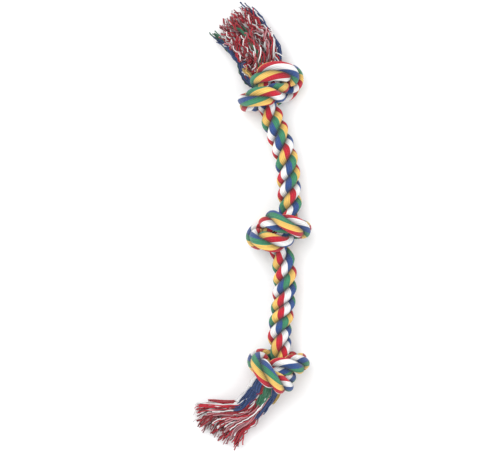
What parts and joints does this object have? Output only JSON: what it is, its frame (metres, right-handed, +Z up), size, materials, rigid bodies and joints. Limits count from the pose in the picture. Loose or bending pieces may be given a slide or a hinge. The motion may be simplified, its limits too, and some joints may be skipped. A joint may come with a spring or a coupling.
{
  "type": "rope dog toy",
  "caption": "Twisted cotton rope tug toy for dogs, with overhand knots in it and unlaid yarn tassels at both ends, lying flat.",
  "frame": {"origin": "middle of the bounding box on the floor that the toy lies on", "axes": "+Y along the toy towards its top tassel, +X to the right as pictured, +Z up from the floor"},
  "size_m": [0.0983, 0.3695, 0.0535],
  "materials": {
    "banded_cotton": "matt dyed cotton yarn in bands of five colours",
    "yellow_cotton": "matt dyed cotton yarn",
    "red_cotton": "matt dyed cotton yarn",
    "white_cotton": "matt dyed cotton yarn",
    "blue_cotton": "matt dyed cotton yarn",
    "green_cotton": "matt dyed cotton yarn",
    "core_cotton": "matt dyed cotton yarn"
  },
  "bodies": {
    "middle_knot": {"middle_knot_strand_a": "banded_cotton", "middle_knot_strand_b": "banded_cotton", "middle_knot_strand_c": "banded_cotton"},
    "upper_rope": {"upper_rope_strand_a": "banded_cotton", "upper_rope_strand_b": "banded_cotton", "upper_rope_strand_c": "banded_cotton"},
    "top_knot": {"top_knot_strand_a": "banded_cotton", "top_knot_strand_b": "banded_cotton", "top_knot_strand_c": "banded_cotton"},
    "top_tassel": {"top_tassel_a_yellow": "yellow_cotton", "top_tassel_a_red": "red_cotton", "top_tassel_a_white": "white_cotton", "top_tassel_a_blue": "blue_cotton", "top_tassel_a_green": "green_cotton", "top_tassel_a_core": "core_cotton", "top_tassel_b_yellow": "yellow_cotton", "top_tassel_b_red": "red_cotton", "top_tassel_b_white": "white_cotton", "top_tassel_b_blue": "blue_cotton", "top_tassel_b_green": "green_cotton", "top_tassel_b_core": "core_cotton", "top_tassel_c_yellow": "yellow_cotton", "top_tassel_c_red": "red_cotton", "top_tassel_c_white": "white_cotton", "top_tassel_c_blue": "blue_cotton", "top_tassel_c_green": "green_cotton", "top_tassel_c_core": "core_cotton"},
    "lower_rope": {"lower_rope_strand_a": "banded_cotton", "lower_rope_strand_b": "banded_cotton", "lower_rope_strand_c": "banded_cotton"},
    "bottom_knot": {"bottom_knot_strand_a": "banded_cotton", "bottom_knot_strand_b": "banded_cotton", "bottom_knot_strand_c": "banded_cotton"},
    "bottom_tassel": {"bottom_tassel_a_yellow": "yellow_cotton", "bottom_tassel_a_red": "red_cotton", "bottom_tassel_a_white": "white_cotton", "bottom_tassel_a_blue": "blue_cotton", "bottom_tassel_a_green": "green_cotton", "bottom_tassel_a_core": "core_cotton", "bottom_tassel_b_yellow": "yellow_cotton", "bottom_tassel_b_red": "red_cotton", "bottom_tassel_b_white": "white_cotton", "bottom_tassel_b_blue": "blue_cotton", "bottom_tassel_b_green": "green_cotton", "bottom_tassel_b_core": "core_cotton", "bottom_tassel_c_yellow": "yellow_cotton", "bottom_tassel_c_red": "red_cotton", "bottom_tassel_c_white": "white_cotton", "bottom_tassel_c_blue": "blue_cotton", "bottom_tassel_c_green": "green_cotton", "bottom_tassel_c_core": "core_cotton"}
  },
  "joints": [
    {"name": "upper_rope_sway", "type": "hinge", "parent": "middle_knot", "child": "upper_rope", "pos_m": [0.03148, 0.02802, 0.02026], "axis": [0, 0, 1], "range_deg": [-30, 30], "deforming": ["upper_rope_strand_a", "upper_rope_strand_b", "upper_rope_strand_c"]},
    {"name": "top_knot_lift", "type": "hinge", "parent": "upper_rope", "child": "top_knot", "pos_m": [0.01826, 0.08598, 0.0203], "axis": [1, 0, 0], "range_deg": [0, 35], "deforming": ["upper_rope_strand_a", "upper_rope_strand_b", "upper_rope_strand_c"]},
    {"name": "top_tassel_swing", "type": "hinge", "parent": "top_knot", "child": "top_tassel", "pos_m": [0.01197, 0.12766, 0.01825], "axis": [0, 0, 1], "range_deg": [-30, 30], "deforming": ["top_tassel_a_yellow", "top_tassel_a_red", "top_tassel_a_white", "top_tassel_a_blue", "top_tassel_a_green", "top_tassel_a_core", "top_tassel_b_yellow", "top_tassel_b_red", "top_tassel_b_white", "top_tassel_b_blue", "top_tassel_b_green", "top_tassel_b_core", "top_tassel_c_yellow", "top_tassel_c_red", "top_tassel_c_white", "top_tassel_c_blue", "top_tassel_c_green", "top_tassel_c_core"]},
    {"name": "lower_rope_sway", "type": "hinge", "parent": "middle_knot", "child": "lower_rope", "pos_m": [0.02706, -0.03286, 0.02011], "axis": [0, 0, 1], "range_deg": [-30, 30], "deforming": ["lower_rope_strand_a", "lower_rope_strand_b", "lower_rope_strand_c"]},
    {"name": "bottom_knot_lift", "type": "hinge", "parent": "lower_rope", "child": "bottom_knot", "pos_m": [0.02356, -0.08998, 0.02225], "axis": [-1, 0, 0], "range_deg": [0, 35], "deforming": ["lower_rope_strand_a", "lower_rope_strand_b", "lower_rope_strand_c"]},
    {"name": "bottom_tassel_swing", "type": "hinge", "parent": "bottom_knot", "child": "bottom_tassel", "pos_m": [0.01178, -0.13387, 0.0239], "axis": [0, 0, 1], "range_deg": [-30, 30], "deforming": ["bottom_tassel_a_yellow", "bottom_tassel_a_red", "bottom_tassel_a_white", "bottom_tassel_a_blue", "bottom_tassel_a_green", "bottom_tassel_a_core", "bottom_tassel_b_yellow", "bottom_tassel_b_red", "bottom_tassel_b_white", "bottom_tassel_b_blue", "bottom_tassel_b_green", "bottom_tassel_b_core", "bottom_tassel_c_yellow", "bottom_tassel_c_red", "bottom_tassel_c_white", "bottom_tassel_c_blue", "bottom_tassel_c_green", "bottom_tassel_c_core"]}
  ]
}
